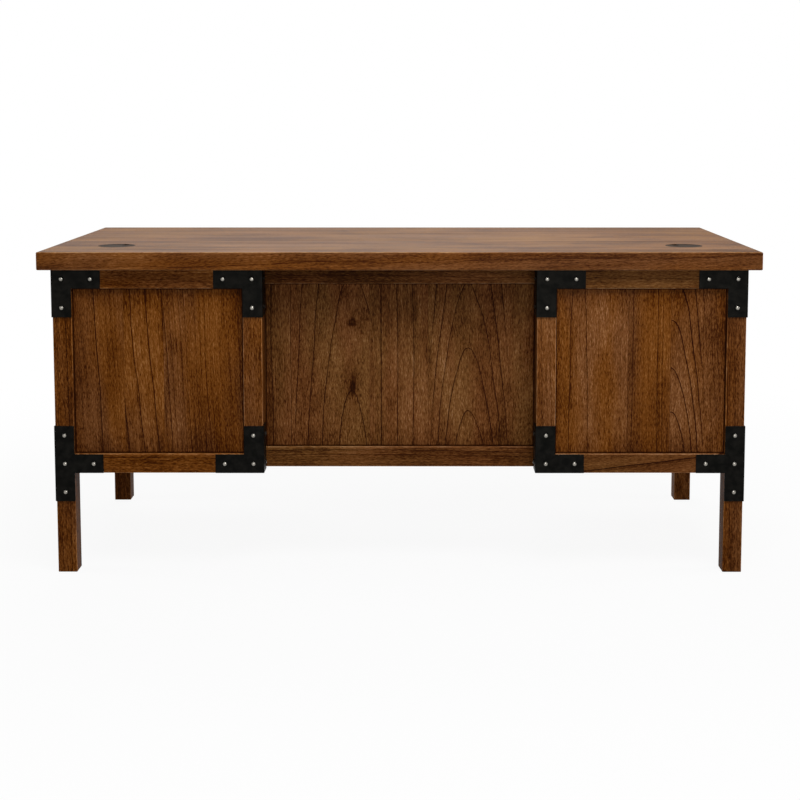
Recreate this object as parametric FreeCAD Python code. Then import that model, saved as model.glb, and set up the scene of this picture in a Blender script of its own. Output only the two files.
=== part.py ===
import FreeCAD, Part
import math
import os

# Executive desk: a thick top on two drawer pedestals, with a modesty panel between them and black
# iron brackets on the corners. Millimetres. The origin is on the floor under the middle of the top,
# +X runs to a visitor's right, +Y from the visitor's side to the user's side, and +Z up.

Vector = FreeCAD.Vector
UP = Vector(0, 0, 1)

# Top
TOP_WIDTH = 1676.4
TOP_DEPTH = 711.2
DESK_HEIGHT = 762.0
TOP_THICKNESS = 42.0
TOP_EDGE_RADIUS = 3.0
SIDE_OVERHANG = 30.8
VISITOR_OVERHANG = 20.0
USER_OVERHANG = 32.0

# Pedestal frames: posts, rails and the panels held in their grooves
PEDESTAL_WIDTH = 487.0
PEDESTAL_CLEARANCE = 239.0
POST_SECTION = 44.5
TOP_RAIL_HEIGHT = 44.5
BOTTOM_RAIL_HEIGHT = 45.5
RAIL_THICKNESS = 22.0
PANEL_THICKNESS = 10.0
PANEL_RECESS = 9.0
PANEL_TONGUE = 7.0
TENON_TIP_GAP = 2.75
TENON_THICKNESS = 8.0
TENON_SHOULDER = 2.0
INNER_SIDE_THICKNESS = 18.0
FLOOR_THICKNESS = 12.0
FLOOR_RISE = 8.0
FLOOR_TONGUE = 6.0
JOINERY_CLEARANCE = 0.2

# Modesty panel between the pedestals
MODESTY_SETBACK = 60.0
MODESTY_TOP_RAIL_HEIGHT = 40.0
MODESTY_BOTTOM_RAIL_HEIGHT = 48.0
ANGLE_LEG = 30.0
ANGLE_WIDTH = 24.0
ANGLE_THICKNESS = 3.0

# Cleats that hold the top down and carry the drawer slides
TOP_CLEAT_SECTION = 20.0
TOP_CLEAT_SCREWS = 3
SLIDE_CLEAT_MARGIN = 5.0
HANGER_THICKNESS = 20.0
HANGER_SCREWS = 2

# Cable grommets
GROMMET_FROM_SIDE = 152.0
GROMMET_FROM_VISITOR_EDGE = 165.0
GROMMET_HOLE_RADIUS = 40.0
GROMMET_RIM_WIDTH = 4.5
GROMMET_RIM_THICKNESS = 2.0
GROMMET_WALL = 3.6
GROMMET_SLEEVE_LENGTH = 24.0
GROMMET_CLEARANCE = 0.25
CAP_THICKNESS = 3.5
CAP_LEDGE = 2.4
CAP_SKIRT_WALL = 2.0
CAP_SKIRT_LENGTH = 8.0
CABLE_SLOT_WIDTH = 16.0
CABLE_SLOT_LENGTH = 20.0
CABLE_SLOT_ANGLE = 55.0

# Iron corner brackets and the domed nails in them
BRACKET_ARM = 112.0
BRACKET_THICKNESS = 2.5
BRACKET_BEND_RADIUS = 2.0
NAIL_HEAD_DIAMETER = 12.0
NAIL_HEAD_HEIGHT = 4.0
NAIL_SHANK_DIAMETER = 3.0
NAIL_LENGTH = 14.0

# Screws of the cleats, hangers and steel angles
SCREW_HEAD_DIAMETER = 7.0
SCREW_HEAD_HEIGHT = 2.2
SCREW_SHANK_DIAMETER = 3.8
SCREW_BITE = 14.0
FASTENER_CLEARANCE = 0.1

# Drawers
UTILITY_OPENING_HEIGHT = 120.0
DIVIDER_HEIGHT = 20.0
DIVIDER_SHOULDER = 4.0
FRONT_THICKNESS = 20.0
FRONT_REVEAL = 2.5
BOX_FOOT_GAP = 10.0
BOX_HEAD_GAP = 20.0
BOX_BOARD = 12.0
BOX_LENGTH = 450.0
BOX_BOTTOM_THICKNESS = 6.0
BOX_BOTTOM_RISE = 8.0
BOX_BOTTOM_TONGUE = 5.0
CENTRE_FRONT_HEIGHT = 62.0
CENTRE_BOX_HEIGHT = 42.0
CENTRE_BOX_LENGTH = 400.0
CENTRE_SIDE_GAP = 2.5

# Telescopic slides
SLIDE_WIDTH = 12.7
SLIDE_HEIGHT = 35.0
SLIDE_GAUGE = 1.3
SLIDE_RUNNING_GAP = 0.4
SLIDE_SIDE_GAP = 1.0
SLIDE_SETBACK = 4.0
SLIDE_END_GAP = 6.0

# Iron strap pulls
PULL_LENGTH = 150.0
PULL_WIDTH = 18.0
PULL_THICKNESS = 3.0
PULL_REACH = 26.0
PULL_FOOT = 24.0
PULL_BEND_RADIUS = 3.0
PULL_DROP = 57.5

# Places that follow from those sizes
UNDERSIDE = DESK_HEIGHT - TOP_THICKNESS
OUTER_X = TOP_WIDTH / 2 - SIDE_OVERHANG
INNER_X = OUTER_X - PEDESTAL_WIDTH
VISITOR_Y = VISITOR_OVERHANG - TOP_DEPTH / 2
USER_Y = TOP_DEPTH / 2 - USER_OVERHANG
PEDESTAL_BASE = PEDESTAL_CLEARANCE
BOTTOM_RAIL = (PEDESTAL_BASE, PEDESTAL_BASE + BOTTOM_RAIL_HEIGHT)
TOP_RAIL = (UNDERSIDE - TOP_RAIL_HEIGHT, UNDERSIDE)
VISITOR_POST_Y = (VISITOR_Y, VISITOR_Y + POST_SECTION)
USER_POST_Y = (USER_Y - POST_SECTION, USER_Y)
BETWEEN_POSTS_Y = (VISITOR_POST_Y[1], USER_POST_Y[0])
OPENING_X = (INNER_X + POST_SECTION, OUTER_X - POST_SECTION)
DRAWER_BACK_Y = USER_Y - FRONT_THICKNESS
MODESTY_Y = VISITOR_Y + MODESTY_SETBACK
GROMMET_X = TOP_WIDTH / 2 - GROMMET_FROM_SIDE
GROMMET_Y = GROMMET_FROM_VISITOR_EDGE - TOP_DEPTH / 2
NAIL_STANDOFF = BRACKET_THICKNESS + NAIL_HEAD_HEIGHT
TENON_LENGTH = POST_SECTION / 2 - NAIL_SHANK_DIAMETER / 2 - TENON_TIP_GAP
CENTRE_HALF_WIDTH = INNER_X - NAIL_STANDOFF - CENTRE_SIDE_GAP
SIDES = {"left": -1, "right": 1}
SAME_PLACE = 1e-6

# Every node is a list of separate solids. Holes are drilled once all fasteners are known.
nodes = {}
nails = []
screws = []
holes = []


def block(x, y, z):
    """A box between three pairs of limits, each pair in either order."""
    corner = Vector(min(x), min(y), min(z))
    return Part.makeBox(abs(x[1] - x[0]), abs(y[1] - y[0]), abs(z[1] - z[0]), corner)


def grown(limits, margin):
    """The limits of a box that is larger by a margin on every side."""
    return [(min(pair) - margin, max(pair) + margin) for pair in limits]


def united(solids):
    """One solid from solids that meet."""
    return solids[0].multiFuse(solids[1:]).removeSplitter().Solids[0]


def carved(piece, cutters):
    """The piece without the cutters that reach it."""
    near = [cutter for cutter in cutters if cutter.BoundBox.intersect(piece.BoundBox)]
    if not near:
        return piece
    return piece.cut(near).Solids[0]


def turned(edges):
    """A solid of revolution round Z from the edges of a closed outline in the XZ plane."""
    face = Part.Face(Part.Wire(Part.__sortEdges__(edges)))
    return face.revolve(Vector(), UP, 360).Solids[0]


def outline(points):
    """The straight edges of a closed outline through points of radius and height."""
    corners = [Vector(radius, 0, height) for radius, height in points]
    return Part.makePolygon(corners + corners[:1]).Edges


def upright_edges(piece, places):
    """The edges along Z that stand at the given places in plan."""
    found = []
    for edge in piece.Edges:
        middle = edge.CenterOfMass
        if any(math.hypot(middle.x - x, middle.y - y) < SAME_PLACE for x, y in places):
            found.append(edge)
    return found


def placed(piece, point, outward):
    """A copy of a piece made along +Z, with its +Z turned outward at a point."""
    copy = piece.copy()
    copy.Placement = FreeCAD.Placement(point, FreeCAD.Rotation(UP, outward))
    return copy


def domed_nail():
    """A nail along -Z from the origin, with a domed head above it."""
    head = NAIL_HEAD_DIAMETER / 2
    shank = NAIL_SHANK_DIAMETER / 2
    sphere = (NAIL_HEAD_HEIGHT**2 + head**2) / (2 * NAIL_HEAD_HEIGHT)
    half_angle = math.asin(head / sphere) / 2
    tip = Vector(0, 0, -NAIL_LENGTH)
    crown = Vector(0, 0, NAIL_HEAD_HEIGHT)
    rim = Vector(head, 0, 0)
    shoulder = Vector(
        sphere * math.sin(half_angle), 0, NAIL_HEAD_HEIGHT - sphere * (1 - math.cos(half_angle))
    )
    side = Part.makePolygon([crown, tip, Vector(shank, 0, -NAIL_LENGTH), Vector(shank, 0, 0), rim])
    return turned(side.Edges + [Part.Arc(rim, shoulder, crown).toShape()])


def flat_screw(length):
    """A screw along -Z from the origin, with a flat round head above it."""
    head = SCREW_HEAD_DIAMETER / 2
    shank = SCREW_SHANK_DIAMETER / 2
    points = [(0, -length), (shank, -length), (shank, 0), (head, 0)]
    points += [(head, SCREW_HEAD_HEIGHT), (0, SCREW_HEAD_HEIGHT)]
    return turned(outline(points))


def hole_for(point, outward, diameter, length):
    """The hole that a fastener's shank passes through, a little wider and deeper than the shank."""
    start = point + outward * FASTENER_CLEARANCE
    radius = diameter / 2 + FASTENER_CLEARANCE
    return Part.makeCylinder(radius, length + 2 * FASTENER_CLEARANCE, start, outward * -1)


NAIL = domed_nail()


def nail_at(point, outward):
    """Drive a bracket nail."""
    nails.append(placed(NAIL, point, outward))
    holes.append(hole_for(point, outward, NAIL_SHANK_DIAMETER, NAIL_LENGTH))


def screw_at(point, outward, length):
    """Drive a screw."""
    screws.append(placed(flat_screw(length), point, outward))
    holes.append(hole_for(point, outward, SCREW_SHANK_DIAMETER, length))


def tenon_limits(rail, axis, shoulder):
    """The limits of the two tenons of a rail that runs along X (axis 0) or Y (axis 1)."""
    low, high = sorted(rail[axis])
    middle = sum(rail[1 - axis]) / 2
    found = []
    for end, tip in ((low, low - TENON_LENGTH), (high, high + TENON_LENGTH)):
        limits = [None, None, (rail[2][0] + shoulder, rail[2][1] - shoulder)]
        limits[axis] = (end, tip)
        limits[1 - axis] = (middle - TENON_THICKNESS / 2, middle + TENON_THICKNESS / 2)
        found.append(limits)
    return found


def desk_top():
    """The slab, with a stepped hole for each grommet."""
    slab = block(
        (-TOP_WIDTH / 2, TOP_WIDTH / 2), (-TOP_DEPTH / 2, TOP_DEPTH / 2), (UNDERSIDE, DESK_HEIGHT)
    )
    slab = slab.makeFillet(TOP_EDGE_RADIUS, slab.Edges)
    rim = GROMMET_HOLE_RADIUS + GROMMET_RIM_WIDTH + GROMMET_CLEARANCE
    cutters = []
    for side in SIDES.values():
        centre = Vector(side * GROMMET_X, GROMMET_Y, UNDERSIDE)
        cutters.append(Part.makeCylinder(GROMMET_HOLE_RADIUS, TOP_THICKNESS, centre))
        seat = centre + UP * (TOP_THICKNESS - GROMMET_RIM_THICKNESS)
        cutters.append(Part.makeCylinder(rim, GROMMET_RIM_THICKNESS, seat))
    nodes["desk_top"] = [carved(slab, cutters)]


def grommets():
    """The liners, flush in the top, and the caps that rest on a ledge inside them."""
    rim = GROMMET_HOLE_RADIUS + GROMMET_RIM_WIDTH
    sleeve = GROMMET_HOLE_RADIUS - GROMMET_CLEARANCE
    bore = sleeve - GROMMET_WALL
    seat = bore + CAP_LEDGE
    liner = turned(outline([
        (bore, -GROMMET_SLEEVE_LENGTH), (sleeve, -GROMMET_SLEEVE_LENGTH),
        (sleeve, -GROMMET_RIM_THICKNESS), (rim, -GROMMET_RIM_THICKNESS),
        (rim, 0), (seat, 0), (seat, -CAP_THICKNESS), (bore, -CAP_THICKNESS),
    ]))
    disc = seat - GROMMET_CLEARANCE
    skirt = bore - GROMMET_CLEARANCE
    hollow = skirt - CAP_SKIRT_WALL
    skirt_end = -CAP_THICKNESS - CAP_SKIRT_LENGTH
    cap = turned(outline([
        (0, 0), (disc, 0), (disc, -CAP_THICKNESS), (skirt, -CAP_THICKNESS),
        (skirt, skirt_end), (hollow, skirt_end), (hollow, -CAP_THICKNESS), (0, -CAP_THICKNESS),
    ]))
    slot_end = disc - CABLE_SLOT_LENGTH + CABLE_SLOT_WIDTH / 2
    slot = united([
        block((slot_end, rim), (-CABLE_SLOT_WIDTH / 2, CABLE_SLOT_WIDTH / 2), (skirt_end, 0)),
        Part.makeCylinder(CABLE_SLOT_WIDTH / 2, -skirt_end, Vector(slot_end, 0, skirt_end)),
    ])
    nodes["grommet_liners"] = []
    for name, side in SIDES.items():
        place = Vector(side * GROMMET_X, GROMMET_Y, DESK_HEIGHT)
        turn = CABLE_SLOT_ANGLE if side < 0 else 180 - CABLE_SLOT_ANGLE
        facing_slot = slot.rotated(Vector(), UP, turn)
        nodes["grommet_liners"].append(liner.translated(place))
        nodes[name + "_grommet_cap"] = [carved(cap, [facing_slot]).translated(place)]


def pedestal(name, side):
    """One pedestal: posts, rails, panels, inner side and floor, with all their joinery."""
    opening = (side * OPENING_X[0], side * OPENING_X[1])
    leg = (side * OPENING_X[1], side * OUTER_X)
    post = (side * INNER_X, side * OPENING_X[0])
    rail_x = (side * (OUTER_X - RAIL_THICKNESS), side * OUTER_X)
    visitor_rail_y = (VISITOR_Y, VISITOR_Y + RAIL_THICKNESS)
    user_rail_y = (USER_Y - RAIL_THICKNESS, USER_Y)
    utility_floor = TOP_RAIL[0] - UTILITY_OPENING_HEIGHT
    divider = (utility_floor - DIVIDER_HEIGHT, utility_floor)

    shoulder = PANEL_TONGUE + TENON_SHOULDER
    rails = {
        name + "_visitor_rails": [
            ([opening, visitor_rail_y, BOTTOM_RAIL], 0, shoulder),
            ([opening, visitor_rail_y, TOP_RAIL], 0, shoulder),
        ],
        name + "_outer_rails": [
            ([rail_x, BETWEEN_POSTS_Y, BOTTOM_RAIL], 1, shoulder),
            ([rail_x, BETWEEN_POSTS_Y, TOP_RAIL], 1, shoulder),
        ],
        "user_face_rails": [
            ([opening, user_rail_y, BOTTOM_RAIL], 0, shoulder),
            ([opening, user_rail_y, divider], 0, DIVIDER_SHOULDER),
            ([opening, user_rail_y, TOP_RAIL], 0, shoulder),
        ],
    }

    panel_z = (BOTTOM_RAIL[1] - PANEL_TONGUE, TOP_RAIL[0] + PANEL_TONGUE)
    panel_depth = (PANEL_RECESS, PANEL_RECESS + PANEL_THICKNESS)
    visitor_panel = [
        grown([opening], PANEL_TONGUE)[0],
        (VISITOR_Y + panel_depth[0], VISITOR_Y + panel_depth[1]),
        panel_z,
    ]
    outer_panel = [
        (side * (OUTER_X - panel_depth[0]), side * (OUTER_X - panel_depth[1])),
        grown([BETWEEN_POSTS_Y], PANEL_TONGUE)[0],
        panel_z,
    ]
    inner_side = [
        (side * INNER_X, side * (INNER_X + INNER_SIDE_THICKNESS)),
        BETWEEN_POSTS_Y,
        (PEDESTAL_BASE, UNDERSIDE),
    ]
    floor_z = PEDESTAL_BASE + FLOOR_RISE
    floor = [
        (inner_side[0][1] - side * FLOOR_TONGUE, rail_x[0] + side * FLOOR_TONGUE),
        (DRAWER_BACK_Y - BOX_LENGTH, BETWEEN_POSTS_Y[1]),
        (floor_z, floor_z + FLOOR_THICKNESS),
    ]

    grooves = [block(*grown(board, JOINERY_CLEARANCE)) for board in (visitor_panel, outer_panel, floor)]
    cutters = list(grooves)
    for node, members in rails.items():
        for limits, axis, depth in members:
            tenons = tenon_limits(limits, axis, depth)
            rail = united([block(*limits)] + [block(*tenon) for tenon in tenons])
            nodes.setdefault(node, []).append(carved(rail, grooves))
            cutters += [block(*grown(tenon, JOINERY_CLEARANCE)) for tenon in tenons]

    for end, span in (("visitor", VISITOR_POST_Y), ("user", USER_POST_Y)):
        nodes[f"{name}_{end}_leg"] = [carved(block(leg, span, (0, UNDERSIDE)), cutters)]
        inner_post = block(post, span, (PEDESTAL_BASE, UNDERSIDE))
        nodes.setdefault(name + "_inner_posts", []).append(carved(inner_post, cutters))
    nodes[name + "_visitor_panel"] = [block(*visitor_panel)]
    nodes[name + "_outer_panel"] = [block(*outer_panel)]
    nodes[name + "_inner_side"] = [carved(block(*inner_side), grooves)]
    nodes.setdefault("pedestal_floor_boards", []).append(block(*floor))


def modesty_panel():
    """The panel between the pedestals, in its two rails, with a steel angle at each rail's end."""
    across = (-INNER_X, INNER_X)
    depth = (MODESTY_Y, MODESTY_Y + RAIL_THICKNESS)
    bottom = (PEDESTAL_BASE, PEDESTAL_BASE + MODESTY_BOTTOM_RAIL_HEIGHT)
    top = (UNDERSIDE - MODESTY_TOP_RAIL_HEIGHT, UNDERSIDE)
    panel = [
        across,
        (MODESTY_Y + PANEL_RECESS, MODESTY_Y + PANEL_RECESS + PANEL_THICKNESS),
        (bottom[1] - PANEL_TONGUE, top[0] + PANEL_TONGUE),
    ]
    groove = block(*grown(panel, JOINERY_CLEARANCE))
    nodes["modesty_panel"] = [block(*panel)]
    nodes["modesty_bottom_rail"] = [carved(block(across, depth, bottom), [groove])]
    nodes["modesty_top_rail"] = [carved(block(across, depth, top), [groove])]

    nodes["modesty_angles"] = []
    for side in SIDES.values():
        for rail in (bottom, top):
            middle = sum(rail) / 2
            span = (middle - ANGLE_WIDTH / 2, middle + ANGLE_WIDTH / 2)
            on_rail = block(
                (side * INNER_X, side * (INNER_X - ANGLE_LEG)), (depth[1], depth[1] + ANGLE_THICKNESS), span
            )
            on_side = block(
                (side * INNER_X, side * (INNER_X - ANGLE_THICKNESS)), (depth[1], depth[1] + ANGLE_LEG), span
            )
            nodes["modesty_angles"].append(united([on_rail, on_side]))
            reach = (ANGLE_LEG + ANGLE_THICKNESS) / 2
            rail_screw = Vector(side * (INNER_X - reach), depth[1] + ANGLE_THICKNESS, middle)
            side_screw = Vector(side * (INNER_X - ANGLE_THICKNESS), depth[1] + reach, middle)
            screw_at(rail_screw, Vector(0, 1, 0), ANGLE_THICKNESS + SCREW_BITE)
            screw_at(side_screw, Vector(-side, 0, 0), ANGLE_THICKNESS + SCREW_BITE)


def spaced(low, high, count):
    """Evenly spaced places inside a span."""
    return [low + (high - low) * (index + 0.5) / count for index in range(count)]


def top_cleats():
    """Cleats along the pedestals' sides, screwed up into the top."""
    nodes["top_cleats"] = []
    z = (UNDERSIDE - TOP_CLEAT_SECTION, UNDERSIDE)
    for side in SIDES.values():
        inner = INNER_X + INNER_SIDE_THICKNESS
        outer = OUTER_X - RAIL_THICKNESS - TOP_CLEAT_SECTION
        for start in (inner, outer):
            x = (side * start, side * (start + TOP_CLEAT_SECTION))
            nodes["top_cleats"].append(block(x, BETWEEN_POSTS_Y, z))
            for y in spaced(*BETWEEN_POSTS_Y, TOP_CLEAT_SCREWS):
                screw_at(Vector(sum(x) / 2, y, z[0]), UP * -1, TOP_CLEAT_SECTION + SCREW_BITE)


def bracket(node, corner, inward, lower_arm, side_arm):
    """An iron bracket bent round an upright corner.

    corner is the post's edge where the rail's outer edge meets it, and inward holds the signs that lead
    from it along X, Y and Z onto the wood. A lower arm carries the strip on past the rail, along a leg,
    and a side arm follows the rail on the side face.
    """
    def span(axis, near, far):
        return (corner[axis] + inward[axis] * near, corner[axis] + inward[axis] * far)

    strip = span(2, POST_SECTION - BRACKET_ARM if lower_arm else 0, BRACKET_ARM)
    arm = span(2, 0, POST_SECTION)
    face_y = span(1, -BRACKET_THICKNESS, 0)
    face_x = span(0, -BRACKET_THICKNESS, 0)
    plates = [
        block(span(0, -BRACKET_THICKNESS, POST_SECTION), face_y, strip),
        block(span(0, POST_SECTION, BRACKET_ARM), face_y, arm),
        block(face_x, span(1, 0, POST_SECTION), strip),
    ]
    if side_arm:
        plates.append(block(face_x, span(1, POST_SECTION, BRACKET_ARM), arm))
    plate = united(plates)
    bend = upright_edges(plate, [(face_x[0], face_y[0])])
    nodes.setdefault(node, []).append(plate.makeFillet(BRACKET_BEND_RADIUS, bend).Solids[0])

    half = POST_SECTION / 2
    heights = [half, BRACKET_ARM - half]
    if lower_arm:
        heights.append(POST_SECTION - BRACKET_ARM + half)
    on_face = [(half, height) for height in heights] + [(BRACKET_ARM - half, half)]
    on_side = [(half, height) for height in heights]
    if side_arm:
        on_side.append((BRACKET_ARM - half, half))
    for along, height in on_face:
        point = Vector(span(0, 0, along)[1], face_y[0], span(2, 0, height)[1])
        nail_at(point, Vector(0, -inward[1], 0))
    for along, height in on_side:
        point = Vector(face_x[0], span(1, 0, along)[1], span(2, 0, height)[1])
        nail_at(point, Vector(-inward[0], 0, 0))


def brackets():
    """The brackets on all corners of both pedestals."""
    for side in SIDES.values():
        for end_y, in_y in ((VISITOR_Y, 1), (USER_Y, -1)):
            outer = (side * OUTER_X, end_y)
            inner = (side * INNER_X, end_y)
            bracket("top_corner_brackets", (*outer, UNDERSIDE), (-side, in_y, -1), False, True)
            bracket("top_corner_brackets", (*inner, UNDERSIDE), (side, in_y, -1), False, False)
            bracket("leg_brackets", (*outer, PEDESTAL_BASE), (-side, in_y, 1), True, True)
            bracket("lower_corner_brackets", (*inner, PEDESTAL_BASE), (side, in_y, 1), False, False)


def channel(web, reach, y, half_height, middle):
    """A sheet-steel channel along Y: a web, and two flanges that reach from it."""
    low, high = middle - half_height, middle + half_height
    flange_x = (web[0], reach)
    return united([
        block(web, y, (low, high)),
        block(flange_x, y, (low, low + SLIDE_GAUGE)),
        block(flange_x, y, (high - SLIDE_GAUGE, high)),
    ])


def slide(case_x, towards, y, middle):
    """The cabinet, middle and drawer members of a slide that hangs on a face of the case."""
    def at(distance):
        return case_x + towards * distance

    step = SLIDE_GAUGE + SLIDE_RUNNING_GAP
    half = SLIDE_HEIGHT / 2
    reach = SLIDE_WIDTH - SLIDE_SIDE_GAP
    cabinet = channel((at(0), at(SLIDE_GAUGE)), at(reach), y, half, middle)
    mid = channel((at(step), at(step + SLIDE_GAUGE)), at(reach), y, half - step, middle)
    drawer_web = (at(SLIDE_WIDTH), at(SLIDE_WIDTH - SLIDE_GAUGE))
    inner = channel(drawer_web, at(2 * step), y, half - 2 * step, middle)
    return cabinet, mid, inner


def pull(centre):
    """An iron strap bent out into a grip, and the two domed nails in its feet."""
    half = PULL_LENGTH / 2
    knee = half - PULL_FOOT
    inside = PULL_REACH - PULL_THICKNESS
    right = [
        (half, 0), (half, PULL_THICKNESS), (knee + PULL_THICKNESS, PULL_THICKNESS),
        (knee + PULL_THICKNESS, PULL_REACH),
    ]
    left = [(-x, y) for x, y in reversed(right)]
    gap = [(-knee, 0), (-knee, inside), (knee, inside), (knee, 0)]
    corners = [Vector(x, y, -PULL_WIDTH / 2) for x, y in right + left + gap]
    strap = Part.Face(Part.makePolygon(corners + corners[:1])).extrude(UP * PULL_WIDTH)
    outside_bends = [(-knee, 0), (knee, 0), right[-1], left[0]]
    inside_bends = [(-knee, inside), (knee, inside), right[2], left[1]]
    outside_radius = PULL_BEND_RADIUS + PULL_THICKNESS
    strap = strap.makeFillet(outside_radius, upright_edges(strap, outside_bends))
    strap = strap.makeFillet(PULL_BEND_RADIUS, upright_edges(strap, inside_bends))
    strap = strap.Solids[0].translated(centre)
    outward = Vector(0, 1, 0)
    bolt_x = (half + knee + PULL_THICKNESS) / 2
    points = [centre + Vector(x, PULL_THICKNESS, 0) for x in (-bolt_x, bolt_x)]
    bolt_holes = [hole_for(point, outward, NAIL_SHANK_DIAMETER, NAIL_LENGTH) for point in points]
    return [carved(strap, bolt_holes)] + [placed(NAIL, point, outward) for point in points], bolt_holes


def drawer(name, front_x, front_z, box_x, box_z, length, pull_z):
    """A drawer with its front, box and pull, and the slides at its two sides."""
    front = block(front_x, (DRAWER_BACK_Y, USER_Y), front_z)
    strap, bolt_holes = pull(Vector(sum(front_x) / 2, USER_Y, pull_z))
    nodes[name + "_drawer_front"] = [carved(front, bolt_holes)]
    nodes[name + "_drawer_pull"] = strap

    box_y = (DRAWER_BACK_Y - length, DRAWER_BACK_Y)
    inside_x = (box_x[0] + BOX_BOARD, box_x[1] - BOX_BOARD)
    inside_y = (box_y[0] + BOX_BOARD, box_y[1] - BOX_BOARD)
    bottom_z = (box_z[0] + BOX_BOTTOM_RISE, box_z[0] + BOX_BOTTOM_RISE + BOX_BOTTOM_THICKNESS)
    bottom = grown([inside_x, inside_y], BOX_BOTTOM_TONGUE) + [bottom_z]
    groove = block(*grown(bottom, JOINERY_CLEARANCE))
    boards = [
        block((box_x[0], inside_x[0]), box_y, box_z),
        block((inside_x[1], box_x[1]), box_y, box_z),
        block(inside_x, (box_y[0], inside_y[0]), box_z),
        block(inside_x, (inside_y[1], box_y[1]), box_z),
    ]
    nodes[name + "_drawer_box"] = [carved(board, [groove]) for board in boards] + [block(*bottom)]

    slide_y = (box_y[0] + SLIDE_END_GAP, box_y[1] - SLIDE_SETBACK)
    middle = sum(box_z) / 2
    sides = [(box_x[0] - SLIDE_WIDTH, 1), (box_x[1] + SLIDE_WIDTH, -1)]
    sets = [slide(case_x, towards, slide_y, middle) for case_x, towards in sides]
    nodes.setdefault("slide_cabinet_members", []).extend(members[0] for members in sets)
    nodes[name + "_slide_middle"] = [members[1] for members in sets]
    nodes[name + "_slide_inner"] = [members[2] for members in sets]
    return slide_y, middle


def pedestal_drawers(name, side):
    """The utility and file drawers of one pedestal, and the cleats behind their slides."""
    opening = sorted(side * x for x in OPENING_X)
    front_x = grown([opening], -FRONT_REVEAL)[0]
    box_x = (opening[0] + SLIDE_WIDTH, opening[1] - SLIDE_WIDTH)
    utility_floor = TOP_RAIL[0] - UTILITY_OPENING_HEIGHT
    openings = {
        "utility": (utility_floor, TOP_RAIL[0]),
        "file": (BOTTOM_RAIL[1], utility_floor - DIVIDER_HEIGHT),
    }
    backs = [
        (side * (INNER_X + INNER_SIDE_THICKNESS), side * OPENING_X[0]),
        (side * OPENING_X[1], side * (OUTER_X - PANEL_RECESS - PANEL_THICKNESS)),
    ]
    for kind, (low, high) in openings.items():
        front_z = (low + FRONT_REVEAL, high - FRONT_REVEAL)
        box_z = (low + BOX_FOOT_GAP, high - BOX_HEAD_GAP)
        pull_z = front_z[1] - PULL_DROP
        middle = drawer(f"{name}_{kind}", front_x, front_z, box_x, box_z, BOX_LENGTH, pull_z)[1]
        half = SLIDE_HEIGHT / 2 + SLIDE_CLEAT_MARGIN
        for x in backs:
            cleat = block(x, BETWEEN_POSTS_Y, (middle - half, middle + half))
            nodes.setdefault("slide_cleats", []).append(cleat)


def centre_drawer():
    """The shallow drawer in the kneehole, and the hangers under the top that carry its slides."""
    front_x = (-CENTRE_HALF_WIDTH, CENTRE_HALF_WIDTH)
    front_top = UNDERSIDE - FRONT_REVEAL
    front_z = (front_top - CENTRE_FRONT_HEIGHT, front_top)
    slide_face = CENTRE_HALF_WIDTH - HANGER_THICKNESS
    box_half = slide_face - SLIDE_WIDTH
    box_foot = front_z[0] + BOX_FOOT_GAP
    slide_y, middle = drawer(
        "centre", front_x, front_z, (-box_half, box_half), (box_foot, box_foot + CENTRE_BOX_HEIGHT),
        CENTRE_BOX_LENGTH, sum(front_z) / 2,
    )
    hanger_z = (middle - SLIDE_HEIGHT / 2 - SLIDE_CLEAT_MARGIN, UNDERSIDE)
    nodes["centre_drawer_hangers"] = []
    for side in SIDES.values():
        x = (side * slide_face, side * CENTRE_HALF_WIDTH)
        nodes["centre_drawer_hangers"].append(block(x, slide_y, hanger_z))
        for y in spaced(*slide_y, HANGER_SCREWS):
            screw_at(Vector(sum(x) / 2, y, hanger_z[0]), UP * -1, hanger_z[1] - hanger_z[0] + SCREW_BITE)


desk_top()
grommets()
for side_name, side_sign in SIDES.items():
    pedestal(side_name, side_sign)
    pedestal_drawers(side_name, side_sign)
centre_drawer()
modesty_panel()
top_cleats()
brackets()

for node in nodes:
    nodes[node] = [carved(solid, holes) for solid in nodes[node]]
nodes["bracket_nails"] = nails
nodes["construction_screws"] = screws

os.makedirs("parts", exist_ok=True)
for node, solids in nodes.items():
    Part.makeCompound(solids).exportStep(f"parts/{node}.step")
    volume = sum(solid.Volume for solid in solids) / 1000
    print(f"{node}: {len(solids)} solids, {volume:.1f} cm3")
print(len(nodes), "nodes")
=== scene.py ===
# %% [markdown]
# # A desk of stained wood and black iron
#
# This lesson dresses a finished CAD model of an executive desk for a product photograph. The CAD
# model gives every size and every moving part. Blender gives what a drawing leaves out: eased
# edges, glued-up boards with their own grain, blackened iron, nail heads and light.
#
# The frame comes first. Each CAD part arrives as an object at the origin with its place in its
# mesh, and every piece made here is built in the same place, in metres.

# %% Load the frame
import itertools
import math
import random
from collections import namedtuple

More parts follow.
